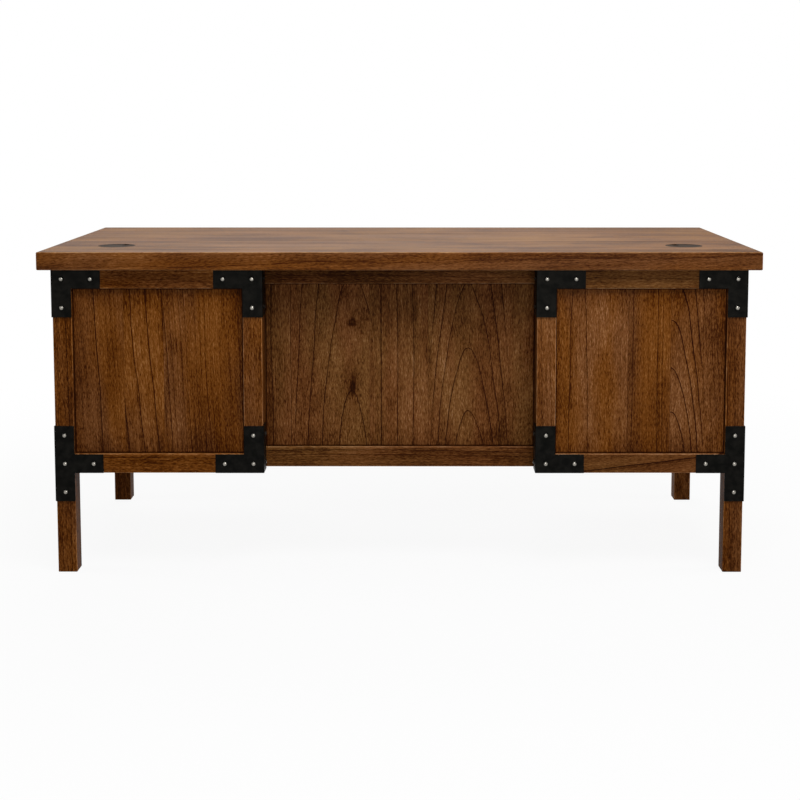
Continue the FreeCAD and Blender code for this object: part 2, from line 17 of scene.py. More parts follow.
import bmesh
import bpy
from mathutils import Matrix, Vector


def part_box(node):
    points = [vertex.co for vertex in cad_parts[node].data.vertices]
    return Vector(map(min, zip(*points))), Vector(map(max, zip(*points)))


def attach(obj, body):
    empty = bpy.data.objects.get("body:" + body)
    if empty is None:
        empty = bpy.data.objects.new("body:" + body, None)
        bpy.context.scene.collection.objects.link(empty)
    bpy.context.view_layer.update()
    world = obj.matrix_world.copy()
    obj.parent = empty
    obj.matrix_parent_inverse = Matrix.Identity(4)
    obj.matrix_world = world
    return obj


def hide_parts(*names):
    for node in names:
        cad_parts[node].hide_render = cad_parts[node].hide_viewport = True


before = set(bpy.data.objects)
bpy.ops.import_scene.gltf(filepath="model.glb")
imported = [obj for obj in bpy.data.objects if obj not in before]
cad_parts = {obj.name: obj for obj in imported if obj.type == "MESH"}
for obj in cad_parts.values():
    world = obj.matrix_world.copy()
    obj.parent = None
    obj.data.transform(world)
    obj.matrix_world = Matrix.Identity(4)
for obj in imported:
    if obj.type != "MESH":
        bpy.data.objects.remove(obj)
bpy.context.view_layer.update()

# %% [markdown]
# ## The desk's main lines
#
# A joiner marks the main lines on a rod before cutting any board. Here they are read from the
# boxes of a few CAD parts, so the boards below can't drift away from the frame.

# %% Main lines
top_low, top_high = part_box("desk_top")
leg_low, leg_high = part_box("left_visitor_leg")
post_low, post_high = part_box("left_inner_posts")
POST = leg_high.x - leg_low.x
OUTER, INNER = -leg_low.x, -post_high.x
VISITOR, USER = post_low.y, post_high.y
BASE, UNDERSIDE = post_low.z, top_low.z
TOP_RAIL, BOTTOM_RAIL, RAIL = 0.0445, 0.0455, 0.022
SIDES = {"left": -1, "right": 1}
print(f"post {POST:.4f} m, pedestals from {INNER:.4f} to {OUTER:.4f} m")
print(f"pedestals' base at {BASE:.3f} m, top's underside at {UNDERSIDE:.3f} m")

# %% [markdown]
# ## Camera
#
# The camera stands in front of the visitor's side, a little above the top. A small downward tilt
# and a lens shift share the work of framing: the shift keeps the uprights nearly parallel, as in
# a furniture catalogue, and the tilt keeps the shift small.

# %% Camera
TILT, TURN = 5.155, 0.057
lens = bpy.data.cameras.new("catalogue_camera")
lens.sensor_width = 36
lens.lens = 62.05
lens.shift_x = -0.0185
lens.shift_y = -0.2
camera = bpy.data.objects.new("catalogue_camera", lens)
camera.location = (0.0387, -3.5142, 1.0754)
camera.rotation_euler = (math.radians(90 - TILT), 0, math.radians(TURN))
bpy.context.scene.collection.objects.link(camera)
bpy.context.scene.camera = camera
bpy.context.scene.view_settings.view_transform = "Standard"
print("camera at", tuple(camera.location))

# %% [markdown]
# ## Shader maths
#
# A material is a graph of small nodes. Wiring them one by one hides the idea, so one small class
# wraps a node's output: sums written with + - * / add the Math nodes by themselves, and `node`
# adds any other kind. Numbers that stay the same all over a surface never need a node.

# %% Wires between nodes
class Wire:
    """One output of a shader node."""

    def __init__(self, tree, socket=None):
        self.tree = tree
        self.socket = socket

    def node(self, kind, settings=None, inputs=None, output=0):
        """Add a node: its settings first, then values or wires for its sockets."""
        added = self.tree.nodes.new(kind)
        for name, value in (settings or {}).items():
            if name == "stops":
                while len(added.color_ramp.elements) < len(value):
                    added.color_ramp.elements.new(1.0)
                for element, (place, colour) in zip(added.color_ramp.elements, value):
                    element.position = place
                    element.color = colour
            else:
                setattr(added, name, value)
        for key, value in (inputs or {}).items():
            if isinstance(value, Wire):
                self.tree.links.new(value.socket, added.inputs[key])
            else:
                added.inputs[key].default_value = value
        return Wire(self.tree, added.outputs[output] if added.outputs else None)

    def maths(self, operation, *terms):
        """A Math node, or a Vector Math node where a vector takes part."""
        def is_vector(term):
            return isinstance(term, tuple) or isinstance(term, Wire) and term.socket.type != "VALUE"

        kind = "ShaderNodeMath"
        if any(is_vector(term) for term in terms):
            kind = "ShaderNodeVectorMath"
            terms = [(term,) * 3 if isinstance(term, (int, float)) else term for term in terms]
        return self.node(kind, {"operation": operation}, dict(enumerate(terms)))

    def length(self):
        """The length of a vector."""
        return self.node("ShaderNodeVectorMath", {"operation": "LENGTH"}, {0: self}, "Value")

    def part(self, axis):
        """The X, Y or Z of a vector."""
        return self.node("ShaderNodeSeparateXYZ", None, {0: self}, axis)

    def __add__(self, other):
        return self.maths("ADD", self, other)

    def __radd__(self, other):
        return self.maths("ADD", other, self)

    def __sub__(self, other):
        return self.maths("SUBTRACT", self, other)

    def __rsub__(self, other):
        return self.maths("SUBTRACT", other, self)

    def __mul__(self, other):
        return self.maths("MULTIPLY", self, other)

    def __rmul__(self, other):
        return self.maths("MULTIPLY", other, self)

    def __truediv__(self, other):
        return self.maths("DIVIDE", self, other)

    def __rtruediv__(self, other):
        return self.maths("DIVIDE", other, self)


# %% Places, noise and slopes
def object_place(start):
    """A point's own place on its object."""
    return start.node("ShaderNodeTexCoord", output="Object")


def kept(start, attribute, output="Vector"):
    """What a piece keeps in an attribute of its mesh."""
    return start.node("ShaderNodeAttribute", {"attribute_name": attribute}, output=output)


def cloud(place, stretch, detail=2.0, roughness=0.5, output=0):
    """Soft noise from 0 to 1, with so many cells per metre, all round or along each axis."""
    return place.node(
        "ShaderNodeTexNoise", None,
        {"Vector": place * stretch, "Scale": 1.0, "Detail": detail, "Roughness": roughness}, output,
    )


def rise(value, low, high):
    """0 at low, 1 at high, with a soft slope between them."""
    return value.node(
        "ShaderNodeMapRange", {"interpolation_type": "SMOOTHSTEP"},
        {"Value": value, "From Min": low, "From Max": high, "To Min": 0.0, "To Max": 1.0},
    )


def bump(height, strength, distance):
    """A relief for the shader's Normal."""
    return height.node(
        "ShaderNodeBump", None, {"Strength": strength, "Distance": distance, "Height": height}
    )


# %% Colours and finishes
def tint(red, green, blue):
    """A colour as it is picked on screen, in the linear values that shaders work with."""
    def linear(level):
        level /= 255
        return level / 12.92 if level <= 0.04045 else ((level + 0.055) / 1.055) ** 2.4

    return (linear(red), linear(green), linear(blue), 1.0)


def blend(share, first, second):
    """A mix of two colours."""
    return share.node("ShaderNodeMix", {"data_type": "RGBA"}, {0: share, 6: first, 7: second}, 2)


def ramp(level, places, colours):
    """Colours along a scale, each at its place."""
    stops = list(zip(places, colours))
    return level.node("ShaderNodeValToRGB", {"stops": stops}, {"Fac": level})


def finish(name, constants):
    """A new material with constants on its shader, and a wire to start its nodes from."""
    material = bpy.data.materials.new(name)
    material.use_nodes = True
    principled = material.node_tree.nodes["Principled BSDF"]
    for socket, value in constants.items():
        principled.inputs[socket].default_value = value
    return material, Wire(material.node_tree)


def feed(material, **wires):
    """Join wires to the shader's sockets: base_color feeds Base Color, and so on."""
    tree = material.node_tree
    principled = tree.nodes["Principled BSDF"]
    for name, wire in wires.items():
        tree.links.new(wire.socket, principled.inputs[name.replace("_", " ").title()])
    print(f"{material.name}: {len(tree.nodes)} nodes")


# %% [markdown]
# ## Floor, backdrop and light
#
# The photograph has a pure white ground. A floor that is lit up to white would also flood the
# desk with light, so the camera, and reflections, see a white world and an almost white floor.
# The light that falls on the desk comes from a low, even daylight and five softboxes: the key
# above the visitor's side, one in front, one behind for the user's side, and one at each end.
# The floor keeps a part of its own shading, so the desk's shadow still rests on it.

# %% World
WHITE = (1, 1, 1, 1)
DAYLIGHT = 0.12


def seen_directly(start):
    """1 for rays from the camera, a reflection or a clear pane, 0 for the light on surfaces."""
    names = ("Is Camera Ray", "Is Glossy Ray", "Is Transmission Ray")
    rays = [start.node("ShaderNodeLightPath", output=name) for name in names]
    return start.node("ShaderNodeClamp", None, {"Value": rays[0] + rays[1] + rays[2]})


world = bpy.data.worlds.new("white_studio")
bpy.context.scene.world = world
world.use_nodes = True
world.node_tree.nodes.clear()
sky = Wire(world.node_tree)
daylight = sky.node("ShaderNodeBackground", None, {"Color": WHITE, "Strength": DAYLIGHT})
backdrop = sky.node("ShaderNodeBackground", None, {"Color": WHITE, "Strength": 1.0})
surround = sky.node("ShaderNodeMixShader", None, {0: seen_directly(sky), 1: daylight, 2: backdrop})
sky.node("ShaderNodeOutputWorld", None, {"Surface": surround})
print("world nodes:", len(world.node_tree.nodes))

# %% Floor
PAPER = (0.42, 0.42, 0.42, 1)
bpy.ops.object.select_all(action="DESELECT")
bpy.ops.mesh.primitive_plane_add(size=80)
floor = bpy.context.object
floor.name = "studio_floor"
paper = bpy.data.materials.new("studio_paper")
paper.use_nodes = True
paper.node_tree.nodes.clear()
sheet = Wire(paper.node_tree)
matte = sheet.node("ShaderNodeBsdfDiffuse", None, {"Color": PAPER})
glow = sheet.node("ShaderNodeEmission", None, {"Color": WHITE, "Strength": 1.0})
away = object_place(sheet).length()
whiteness = seen_directly(sheet) * (0.92 + rise(away, 0.9, 2.4) * 0.08)
lit_white = sheet.node("ShaderNodeMixShader", None, {0: whiteness, 1: matte, 2: glow})
sheet.node("ShaderNodeOutputMaterial", None, {"Surface": lit_white})
floor.data.materials.append(paper)
print("floor laid")


# %% Softboxes
def softbox(name, place, aim, size, watts):
    """A rectangular area lamp that faces a point."""
    bpy.ops.object.light_add(type="AREA", location=place)
    lamp = bpy.context.object
    lamp.name = name
    lamp.data.shape = "RECTANGLE"
    lamp.data.size, lamp.data.size_y = size
    lamp.data.energy = watts
    lamp.rotation_euler = (Vector(aim) - Vector(place)).to_track_quat("-Z", "Y").to_euler()
    print(f"{name}: {watts} W")


softbox("key_softbox", (0.7, -1.7, 3.4), (0, -0.2, 0.5), (2.2, 1.4), 160)
softbox("front_softbox", (0.5, -4.6, 1.4), (0, 0, 0.5), (1.8, 1.2), 58)
softbox("rear_softbox", (-0.4, 2.4, 3.2), (0, 0.3, 0.5), (2.6, 1.6), 108)
for side_name, side in SIDES.items():
    softbox(f"{side_name}_softbox", (side * 4.2, 0, 1.9), (0, 0, 0.5), (1.4, 1.0), 100)

# %% [markdown]
# ## Growth rings
#
# Real boards are slices of a tree. Their figure is the growth rings, cut by the board's face:
# straight lines where the cut passes beside the heart, and pointed arches where it passes over a
# heart that leans. Lines drawn on a face would not carry on over its edges, so the material asks
# each point of a board where it was in its tree. The board's mesh keeps the answers:
#
# - `fibre` is the place in the tree: beside the heart, below it, and along the trunk.
# - `growth` is how the heart drifts to the side and leans in depth, and the board's own tone.
# - `habit` is the width of a ring, how bold the figure is, how wide it spreads, and how far the
#   trunk bends.
#
# A year ends in dark late wood: a thin broken line with a soft shade before it. A plain board
# shows few of its lines, a figured one all of them. Each board's trunk starts ten metres after
# the last one's, so no two boards share a pattern.

# %% Growth rings
TRUNK = 10
Rings = namedtuple("Rings", "trunk line shade broken")


def growth_rings(start, fibre):
    """The place in the bent trunk, the lines of late wood, and the shade before them."""
    growth, habit = kept(start, "growth"), kept(start, "habit")
    drift, lean = growth.part("X"), growth.part("Y")
    ring, figure, spread = (habit.part(axis) for axis in "XYZ")
    bend = kept(start, "habit", "Alpha") * 0.014

    wander = cloud(fibre, (5.0, 5.0, 2.6), output="Color") - 0.5
    trunk = fibre + wander * start.node("ShaderNodeCombineXYZ", None, {0: bend, 1: bend})
    side, deep = trunk.part("X"), trunk.part("Y")
    radius = (trunk * (1.0, 1.0, 0.0)).length()
    climb = deep * lean - side * drift
    slope = start.node("ShaderNodeCombineXYZ", None, {0: side, 1: climb}).length() / radius

    years = radius / ring + cloud(fibre, (16.0, 16.0, 2.0)) * 0.12
    board_number = start.maths("ROUND", fibre.part("Z") / TRUNK)
    year = start.node(
        "ShaderNodeTexWhiteNoise", {"noise_dimensions": "1D"},
        {"W": start.maths("FLOOR", years) + board_number * 57},
    )
    faint = year * year * year * year * 0.7
    strength = faint * (1 - figure) + (year * 0.35 + 0.65) * figure
    strength = strength * (1 - rise(start.maths("ABSOLUTE", side) / spread, 0.65, 1.0) * 0.85)

    broken = cloud(fibre, (200.0, 200.0, 40.0)) * 1.4 + 0.3
    rest_of_year = (1 - start.maths("FRACT", years)) * ring / slope
    line = (1 - rise(rest_of_year, 0.0006, 0.0016 + figure * 0.0011)) * strength * broken
    shade = (1 - rise(rest_of_year, 0.0, 0.012)) * strength
    return Rings(trunk, line, shade, broken)


# %% [markdown]
# ## Edges and knots
#
# A frame's edges are paler where hands rub the stain off, and the same pale edge also paints the
# highlight that an eased arris catches. Where a panel meets its frame, painted shade darkens it: a
# narrow dark line in the corner, and a broad darkening that is partly painted shade and partly a
# darker glaze. The attribute `margins` holds a point's distances to the four edges of its face,
# so the nearest edge is the least of them. A knot is a branch, cut across: a dark ragged spot
# with a paler hollow where its heart has fallen out.

# %% Edges and knots
Knot = namedtuple("Knot", "x z wide tall depth hollow")


def edge_wear_and_painted_light(start, pale_edges, broken):
    """Pale edges with rubbed wear and a painted highlight; for panels, dark edges of painted shade
    instead.
    """
    margins = kept(start, "margins")
    one_way = start.maths("MINIMUM", margins.part("X"), margins.part("Y"))
    other_way = start.maths("MINIMUM", margins.part("Z"), kept(start, "margins", "Alpha"))
    nearest = start.maths("MINIMUM", one_way, other_way)
    if pale_edges:
        # Rubbed wear, with a painted highlight along the arris.
        return (1 - rise(nearest, 0.0004, 0.0022)) * 0.44 * broken
    # Painted shade: a narrow dark line where the panel meets its frame, and a broad darkening up to
    # 75 mm in, partly painted shade and partly glaze.
    return (1 - rise(nearest, 0.0010, 0.0042)) * -0.45 - (1 - rise(nearest, 0.0, 0.075)) * 0.12


def knot_shade(start, fibre, knot):
    """How much a knot darkens the wood around it."""
    offset = object_place(start) - (knot.x, 0.0, knot.z)
    ragged = (cloud(fibre, (90.0, 90.0, 50.0)) - 0.5) * 0.7
    reach = (offset * (1 / knot.wide, 0.0, 1 / knot.tall)).length() + ragged
    return (1 - rise(reach, 0.35, 1.15)) * knot.depth - (1 - rise(reach, 0.0, 0.5)) * knot.hollow


# %% [markdown]
# ## Stained wood
#
# The rings are only a part of what shows. Broad bands and fine streaks run along the fibres, open
# pores and grit break them up, and the stain lies in soft clouds. All of these add up to one
# level, from late wood at 0 to the palest streak at 1, and the level picks a shade of the stain.
# Each wood drifts between two stains, because no two planks take the colour alike.
#
# The top is also varnished, more on some bands than on others. A coat greys wood that is seen at
# a low angle, as the real top is. Its edges took a redder stain, and the attribute `upward`, the
# height of a face's normal, tells the face from the edges.

# %% Stained wood
SHADES = (0.0, 0.28, 0.5, 0.72, 1.0)
WAX = {"IOR": 1.45, "Coat IOR": 1.2, "Coat Roughness": 0.45}


def stained_wood(
    name, warm, cool, roughness=0.45, gloss=0.02, pale_edges=True, knots=(),
    bands=(60.0, 0.24), grit=1.15, varnish=0.0, edges=None,
):
    """Wood between two stains. Bands give how many there are in a metre, and their contrast."""
    material, start = finish(name, {"Specular IOR Level": gloss, **WAX})
    fibre = kept(start, "fibre")
    tone = kept(start, "growth").part("Z")
    rings = growth_rings(start, fibre)

    per_metre, contrast = bands
    band = cloud(rings.trunk, (per_metre, per_metre, 1.2), 3.0, 0.6) - 0.5
    streak = cloud(rings.trunk, (300.0, 300.0, 7.0), 2.0, 0.6) - 0.5
    speckle = cloud(fibre, (560.0, 560.0, 95.0), 2.0, 0.6) - 0.5
    pores = rise(cloud(fibre, (640.0, 640.0, 130.0), 1.0), 0.56, 0.72)
    stain_cloud = cloud(fibre, (10.0, 10.0, 4.5), 3.0) - 0.5
    smudge = rise(cloud(fibre, (17.0, 17.0, 9.0)), 0.60, 0.78)

    level = 0.55 + tone + band * contrast + streak * 0.46 + speckle * grit + stain_cloud * 0.60
    # Edges: pale wear with a painted highlight on frame boards, painted shade on panel edges by the
    # frame.
    level = level + edge_wear_and_painted_light(start, pale_edges, rings.broken)
    level = level - rings.line * 0.85 - rings.shade * 0.12 - pores * 0.16 - smudge * 0.14
    for knot in knots:
        level = level - knot_shade(start, fibre, knot)

    hue = rise(cloud(fibre, (11.0, 11.0, 2.2)), 0.36, 0.64)
    colour = blend(hue, ramp(level, SHADES, warm), ramp(level, SHADES, cool))
    if edges:
        edge_colour = blend(hue, *(ramp(level, SHADES, stain) for stain in edges))
        colour = blend(rise(kept(start, "upward", "Fac"), 0.4, 0.9), edge_colour, colour)
    wires = {
        "base_color": colour,
        "roughness": roughness + rings.line * 0.15 + streak * 0.28 + speckle * 0.24,
        "normal": bump(streak * 0.5 + speckle - rings.line - pores * 0.5, 0.3, 0.0005),
    }
    if varnish:
        wires["coat_weight"] = varnish + (band * 2.8 + streak) * varnish
    feed(material, **wires)
    return material


# %% Stains
def stain(*shades):
    """The shades of a stain, from late wood to the palest streak."""
    return [tint(*shade) for shade in shades]


amber = stain((26, 5, 0), (55, 23, 1), (90, 49, 12), (111, 68, 28), (146, 102, 62))
russet = stain((28, 7, 1), (54, 25, 5), (86, 50, 22), (108, 69, 38), (143, 105, 74))
honey = stain((26, 8, 1), (53, 27, 6), (86, 54, 23), (108, 73, 39), (142, 109, 75))
straw = stain((26, 8, 1), (53, 27, 5), (87, 55, 19), (109, 75, 33), (143, 111, 68))
pine = stain((120, 84, 48), (160, 120, 76), (186, 147, 100), (201, 165, 120), (214, 184, 142))
pale_pine = stain((128, 96, 62), (168, 132, 92), (190, 155, 112), (205, 173, 132), (218, 190, 152))
print(len(SHADES), "shades in each stain")

# %% The desk's woods
panel_knots = [
    Knot(-0.113, 0.587, 0.010, 0.014, 0.42, 0.34), Knot(-0.113, 0.430, 0.008, 0.026, 0.40, 0.0),
    Knot(-0.118, 0.445, 0.034, 0.060, 0.13, 0.0), Knot(-0.100, 0.590, 0.030, 0.045, 0.10, 0.0),
]
case_wood = stained_wood("case_wood", amber, russet)
brown_wood = stained_wood("brown_case_wood", russet, honey, grit=0.9)
# The panels get painted shade at their edges, where they meet the frame, instead of pale edges.
panel_wood = stained_wood("panel_wood", amber, russet, pale_edges=False)
knotty_wood = stained_wood("knotty_panel_wood", russet, honey, pale_edges=False, knots=panel_knots)
top_wood = stained_wood(
    "top_wood", straw, honey, roughness=0.50, bands=(34.0, 0.4), grit=0.85,
    varnish=0.2, edges=(russet, amber),
)
drawer_wood = stained_wood("drawer_wood", pine, pale_pine, roughness=0.55, gloss=0.2)

# %% [markdown]
# ## Black iron, pewter, steel and plastic
#
# The brackets and pulls are blackened iron: dark scale with a dull sheen, a little uneven from the
# forge. The nail heads are cast pewter, with a painted highlight on the top of the dome and painted
# shade at the rim where they meet the bracket. The slides and screws are zinc-plated, with the soft
# spangle of the plating bath, and the cable grommets are moulded plastic with a fine spark texture.
# None of these has a grain that follows the shape, so noise at each point's own place is enough.


# %% Iron and pewter
def black_iron_finish():
    """Blackened iron with uneven scale."""
    material, start = finish("black_iron", {"Metallic": 1.0})
    place = object_place(start)
    scale = cloud(place, 60.0, 4.0, 0.6)
    dents, grit = cloud(place, 210.0), cloud(place, 1800.0, 1.0)
    colour = blend(rise(scale, 0.3, 0.75), tint(12, 12, 11), tint(22, 21, 19))
    relief = bump(dents + grit * 0.25, 0.35, 0.0006)
    feed(material, base_color=colour, roughness=0.42 + scale * 0.2, normal=relief)
    return material


def pewter_finish():
    """Nail heads with a painted highlight on top of the dome and painted shade at the rim."""
    material, start = finish("pewter", {"Metallic": 1.0})
    place = object_place(start)
    tarnish_and_glint = cloud(place, 700.0, 3.0)
    # Painted highlight on the dome's top, broken up by noise, and painted shade towards the rim.
    share = rise(kept(start, "crown", "Fac") + (tarnish_and_glint - 0.5) * 0.5, 0.42, 0.98)
    colour = blend(share, tint(26, 24, 22), tint(146, 142, 134))
    relief = bump(cloud(place, 420.0), 0.3, 0.0004)
    feed(material, base_color=colour, roughness=0.38 - share * 0.20, normal=relief)
    return material


black_iron = black_iron_finish()
pewter = pewter_finish()


# %% Zinc and plastic
def zinc_finish():
    """Zinc-plated sheet with a faint spangle."""
    material, start = finish("zinc_steel", {"Metallic": 1.0})
    place = object_place(start)
    spangle = start.node("ShaderNodeTexVoronoi", None, {"Vector": place, "Scale": 260.0}, "Color")
    drawn = cloud(place, (900.0, 12.0, 900.0))
    share = spangle.part("X") * 0.5 + drawn * 0.4
    colour = blend(share, tint(92, 94, 98), tint(126, 128, 131))
    feed(material, base_color=colour, roughness=0.28 + drawn * 0.18)
    return material


def plastic_finish():
    """Moulded plastic with a fine texture."""
    material, start = finish("grommet_plastic", {"Specular IOR Level": 0.016})
    place = object_place(start)
    spark, haze = cloud(place, 2600.0, 1.0), cloud(place, 40.0, 3.0)
    colour = blend(haze, tint(26, 19, 13), tint(40, 30, 21))
    relief = bump(spark, 0.25, 0.0002)
    feed(material, base_color=colour, roughness=0.50 + haze * 0.15, normal=relief)
    return material


zinc_steel = zinc_finish()
grommet_plastic = plastic_finish()

# %% [markdown]
# ## Working on one piece at a time
#
# Blender's operators act on whatever is selected, and the frame arrives selected, so each step
# first takes hold of one piece. Faces and edges are then picked by their place. These helpers are
# the few moves that every piece below is made with.


# %% Taking hold of a piece
def release():
    """Let go of everything."""
    bpy.ops.object.select_all(action="DESELECT")


def take(*pieces):
    """Select only these pieces. The first is the active one."""
    release()
    for piece in pieces:
        piece.select_set(True)
    bpy.context.view_layer.objects.active = pieces[0]


def fixed():
    """The piece in hand, with its place, turn and size put into its mesh."""
    bpy.ops.object.transform_apply(location=True, rotation=True, scale=True)
    return bpy.context.object


def copied(piece):
    """A copy with its own mesh, taken in hand."""
    copy = piece.copy()
    copy.data = piece.data.copy()
    bpy.context.scene.collection.objects.link(copy)
    take(copy)
    return copy


# %% In edit mode
NEAR = 1e-4


def edit(piece, kind="FACE"):
    """Enter edit mode on one piece, with all of it selected."""
    take(piece)
    bpy.ops.object.mode_set(mode="EDIT")
    bpy.ops.mesh.select_mode(type=kind)
    bpy.ops.mesh.select_all(action="SELECT")


def leave():
    """Leave edit mode."""
    bpy.ops.object.mode_set(mode="OBJECT")


def at(**place):
    """A test for elements whose middle lies at the given x, y or z."""
    return lambda middle: all(
        abs(getattr(middle, axis) - value) < NEAR for axis, value in place.items()
    )


def pick(piece, kind, test):
    """Select only the faces or edges whose middle passes a test."""
    bpy.ops.mesh.select_all(action="DESELECT")
    mesh = bmesh.from_edit_mesh(piece.data)
    for element in getattr(mesh, kind):
        middle = sum((corner.co for corner in element.verts), Vector()) / len(element.verts)
        element.select_set(test(middle))
    bmesh.update_edit_mesh(piece.data)


def face_outwards():
    """Turn all faces outwards and leave edit mode."""
    bpy.ops.mesh.select_all(action="SELECT")
    bpy.ops.mesh.normals_make_consistent(inside=False)
    leave()


def turn_over(piece):
    """Turn a sheet's faces to its other side."""
    edit(piece)
    bpy.ops.mesh.flip_normals()
    leave()


# %% Finishing a piece
def modified(piece, kind, **settings):
    """Add a modifier and apply it at once."""
    take(piece)
    modifier = piece.modifiers.new(kind.lower(), kind)
    for name, value in settings.items():
        setattr(modifier, name, value)
    bpy.ops.object.modifier_apply(modifier=modifier.name)


def joined(name, pieces):
    """One piece from several."""
    take(*pieces)
    if len(pieces) > 1:
        bpy.ops.object.join()
    piece = bpy.context.object
    piece.name = name
    return piece


def softened(piece, angle=50):
    """Smooth across eased edges, with flat faces kept flat."""
    take(piece)
    bpy.ops.object.shade_smooth_by_angle(angle=math.radians(angle))
    modified(piece, "WEIGHTED_NORMAL", keep_sharp=True)


def settle(piece, body, slot, material, *nodes):
    """Give a finished piece its material and its body, and hide the CAD nodes that it stands for.
    """
    piece.data.materials.clear()
    piece.data.materials.append(material)
    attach(piece, body)
    if nodes:
        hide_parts(*nodes)
    print(f"{piece.name}: {len(piece.data.polygons)} faces on {body}")


# %% [markdown]
# ## Boards
#
# A board starts as a cube that is stretched to its size, and a bevel eases its edges the way a
# sanding block does. Then it is told which log it came from: where the heart runs, how the heart
# leans in depth and drifts to the side, and so how the rings meet the face. A plain board gets a
# log by chance, with its heart well to one side.

# %% A board
EASE = 0.0012


def board(name, low, high, ease=EASE, segments=2):
    """A board between two corners, with eased edges."""
    low, high = Vector(map(min, low, high)), Vector(map(max, low, high))
    release()
    bpy.ops.mesh.primitive_cube_add(size=1, location=(low + high) / 2, scale=high - low)
    piece = fixed()
    piece.name = name
    modified(piece, "BEVEL", width=ease, segments=segments, limit_method="ANGLE")
    return piece


# %% A log for a plain board
Log = namedtuple(
    "Log", "heart deep lean drift at ring bend figure spread tone",
    defaults=(0.0, 0.0, 0.45, 0.0115, 1.0, 0.0, 9.0, 0.0),
)
chance = random.Random(11)


def any_log(heart, deep, tone=0.0):
    """A log whose heart lies well to one side, so the grain runs nearly straight."""
    side = chance.choice((-1, 1)) * chance.uniform(0.10, 0.30)
    return Log(
        heart + side, deep + chance.uniform(0.03, 0.12), lean=chance.uniform(-0.05, 0.05),
        drift=chance.uniform(-0.03, 0.03), at=0.0, ring=chance.uniform(0.009, 0.02),
        figure=chance.uniform(0.0, 0.2), tone=tone + chance.uniform(-0.03, 0.03),
    )


# %% Laying the grain
AXES = {"x": 0, "y": 1, "z": 2}
KEPT = {
    "fibre": "FLOAT_VECTOR", "growth": "FLOAT_VECTOR", "habit": "FLOAT_COLOR",
    "margins": "FLOAT_COLOR", "upward": "FLOAT",
}
trunks = itertools.count(1)


def lay_grain(piece, run, across, log=None, limits=None, tone=0.0):
    """Keep each corner's place in its tree, and its distances from the edges of its face."""
    mesh = piece.data
    along, side = AXES[run], AXES[across]
    depth = 3 - along - side
    points = [vertex.co for vertex in mesh.vertices]
    low, high = (
        Vector([end(point[axis] for point in points) for axis in range(3)]) for end in (min, max)
    )
    log = log or any_log((low[side] + high[side]) / 2, high[depth], tone)
    trunk = TRUNK * next(trunks)
    edge_low, edge_high = limits or (low, high)
    # A frame board's ends are hidden in joints, so they count as a metre away and get no pale edge
    # and no painted shade.
    joint = 0.0 if limits else 1.0
    for name, kind in KEPT.items():
        mesh.attributes.new(name, kind, "CORNER")
    fibre, growth, habit, margins, upward = (mesh.attributes[name].data for name in KEPT)
    for face in mesh.polygons:
        facing = max(range(3), key=lambda axis: abs(face.normal[axis]))
        flat = [axis for axis in range(3) if axis != facing]
        for corner in face.loop_indices:
            point = points[mesh.loops[corner].vertex_index]
            up = point[along] - log.at
            beside = point[side] - log.heart - log.drift * up
            below = log.deep - point[depth] + log.lean * up
            fibre[corner].vector = (beside, below, point[along] + trunk)
            growth[corner].vector = (log.drift, log.lean, log.tone)
            habit[corner].color = (log.ring, log.figure, log.spread, log.bend)
            upward[corner].value = face.normal.z
            distances = []
            for axis in flat:
                hidden = joint if axis == along else 0.0
                distances.append(point[axis] - edge_low[axis] + hidden)
                distances.append(edge_high[axis] - point[axis] + hidden)
            margins[corner].color = distances
    return piece


# %% [markdown]
# ## The top
#
# The top is five boards glued edge to edge, all running the length of the desk, so the slab is cut
# along the glue lines and each strip gets its own log. Its edges are rounded over, and the two
# cable holes are cut last, each with a shallow seat that takes the grommet's rim.

# %% The boards of the top
SEAMS = (-0.215, -0.068, 0.071, 0.221)
ROUND_OVER, TOP_TONE = 0.003, -0.09


def top_boards():
    """The boards of the top, each between two glue lines."""
    lines = (top_low.y, *SEAMS, top_high.y)
    for front, back in zip(lines, lines[1:]):
        slab = board("desk_top_slab", top_low, top_high, ROUND_OVER, 3)
        edit(slab)
        for place, outward in ((front, -1), (back, 1)):
            if top_low.y < place < top_high.y:
                bpy.ops.mesh.select_all(action="SELECT")
                bpy.ops.mesh.bisect(
                    plane_co=(0, place, 0), plane_no=(0, outward, 0),
                    use_fill=True, clear_outer=True,
                )
        leave()
        yield slab


# %% Cable holes
HOLE_RADIUS, SEAT_RADIUS, SEAT_DEPTH = 0.040, 0.04475, 0.002
CLEAR = 0.01
liner_low, liner_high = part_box("grommet_liners")
GROMMET_X = liner_high.x - (liner_high.y - liner_low.y) / 2
GROMMET_Y = (liner_low.y + liner_high.y) / 2


def cutter(x, radius, low, high):
    """A round tool for cutting a hole."""
    release()
    bpy.ops.mesh.primitive_cylinder_add(
        vertices=72, radius=radius, depth=high - low, location=(x, GROMMET_Y, (low + high) / 2)
    )
    return fixed()


def cut(piece, tool):
    """Cut a piece with a tool and put the tool away."""
    modified(piece, "BOOLEAN", object=tool, operation="DIFFERENCE", solver="EXACT")
    bpy.data.objects.remove(tool)


strips = []
for strip in top_boards():
    for x in (-GROMMET_X, GROMMET_X):
        cut(strip, cutter(x, HOLE_RADIUS, UNDERSIDE - CLEAR, top_high.z + CLEAR))
        cut(strip, cutter(x, SEAT_RADIUS, top_high.z - SEAT_DEPTH, top_high.z + CLEAR))
    strips.append(lay_grain(strip, "x", "y", limits=(top_low, top_high), tone=TOP_TONE))
desk_top = joined("desk_top_boards", strips)
softened(desk_top)
settle(desk_top, "desk_frame", "top_wood", top_wood, "desk_top")

